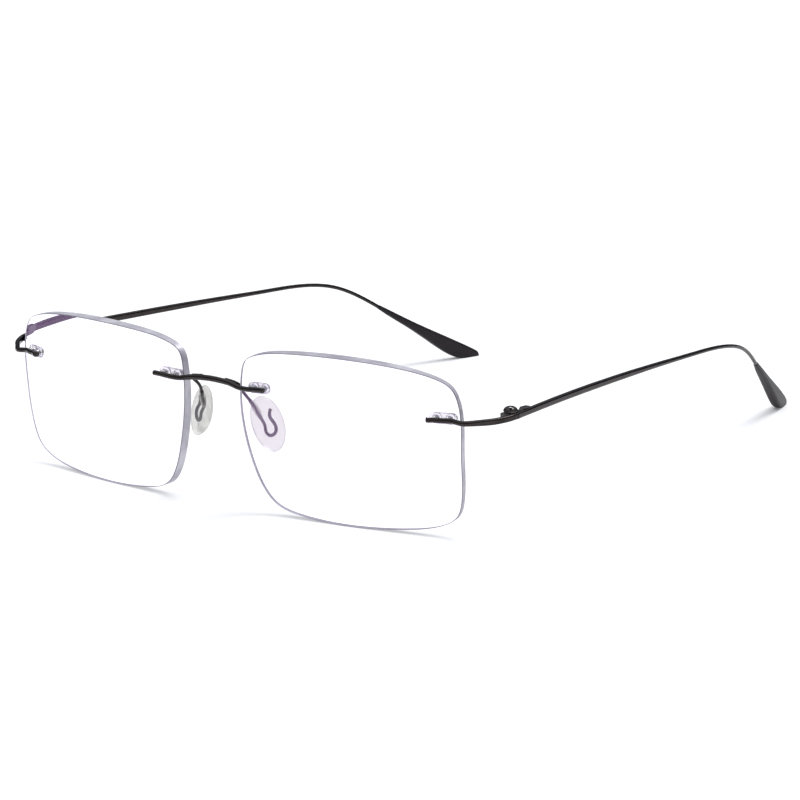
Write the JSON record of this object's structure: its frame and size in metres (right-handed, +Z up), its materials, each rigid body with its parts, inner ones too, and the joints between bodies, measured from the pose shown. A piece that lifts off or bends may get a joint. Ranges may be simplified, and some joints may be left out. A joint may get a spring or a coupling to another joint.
{
  "type": "rimless eyeglasses",
  "caption": "Rimless eyeglasses with clear rectangular lenses, a wire bridge on compression pins, silicone nose pads on wire arms, and slim temples on screw hinges that fold behind the lenses.",
  "frame": {"origin": "centre of the bounding box in X and Y, on the table plane the lenses' lower edges and the temple tips stand on", "axes": "+X towards the wearer's left, +Y from the lenses back towards the temple tips, +Z up with the glasses standing open on a table"},
  "size_m": [0.1398, 0.1554, 0.0374],
  "materials": {
    "lens": "polished",
    "gunmetal": "satin",
    "hardware": "satin",
    "plug": "clear, glossy",
    "pad": "translucent silicone",
    "tip": "smooth, semi-gloss"
  },
  "bodies": {
    "front": {"lens_left": "lens", "lens_right": "lens", "bridge": "gunmetal", "bridge_pins": "gunmetal", "nasal_plug_left": "plug", "nasal_plug_right": "plug", "temporal_plug_left": "plug", "temporal_plug_right": "plug", "endpiece_pins_left": "gunmetal", "endpiece_pins_right": "gunmetal", "pad_arm_left": "gunmetal", "pad_arm_right": "gunmetal", "nose_pad_left": "pad", "nose_pad_right": "pad", "endpiece_left": "gunmetal", "endpiece_right": "gunmetal", "hinge_front_leaf_left": "gunmetal", "hinge_front_leaf_right": "gunmetal", "hinge_washer_left": "hardware", "hinge_washer_right": "hardware", "hinge_screw_left": "hardware", "hinge_screw_right": "hardware"},
    "temple_left": {"temple_left": "gunmetal", "temple_tip_left": "tip", "hinge_temple_leaf_left": "gunmetal"},
    "temple_right": {"temple_right": "gunmetal", "temple_tip_right": "tip", "hinge_temple_leaf_right": "gunmetal"}
  },
  "joints": [
    {"name": "temple_left_fold", "type": "hinge", "parent": "front", "child": "temple_left", "pos_m": [0.06775, -0.05894, 0.0264], "axis": [0, 0, 1], "range_deg": [0, 82]},
    {"name": "temple_right_fold", "type": "hinge", "parent": "front", "child": "temple_right", "pos_m": [-0.06775, -0.05894, 0.0264], "axis": [0, 0, -1], "range_deg": [0, 79]}
  ]
}
